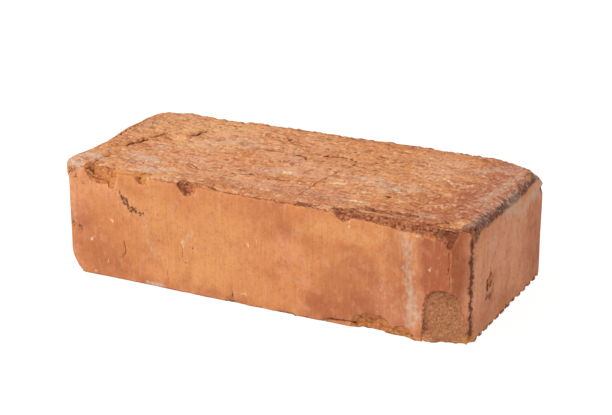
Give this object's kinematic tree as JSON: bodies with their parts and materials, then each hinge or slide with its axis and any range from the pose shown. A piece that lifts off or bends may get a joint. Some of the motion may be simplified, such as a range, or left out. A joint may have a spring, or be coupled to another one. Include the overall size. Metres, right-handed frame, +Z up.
{
  "type": "clay brick",
  "caption": "Solid fired clay brick with smooth sides, torn wire-cut beds, one bevelled corner with a torn groove, chipped arrises and a ragged lip on one end.",
  "frame": {"origin": "middle of the overall length and width, on the lower bed", "axes": "+X along the brick towards the bevelled end, +Y from the front face to the back face, +Z up from the lower bed"},
  "size_m": [0.253, 0.118, 0.067],
  "materials": {
    "fired_clay": "unglazed fired clay, matt, with orange to red-brown fire shading"
  },
  "bodies": {
    "root": {"brick": "fired_clay"}
  },
  "joints": []
}
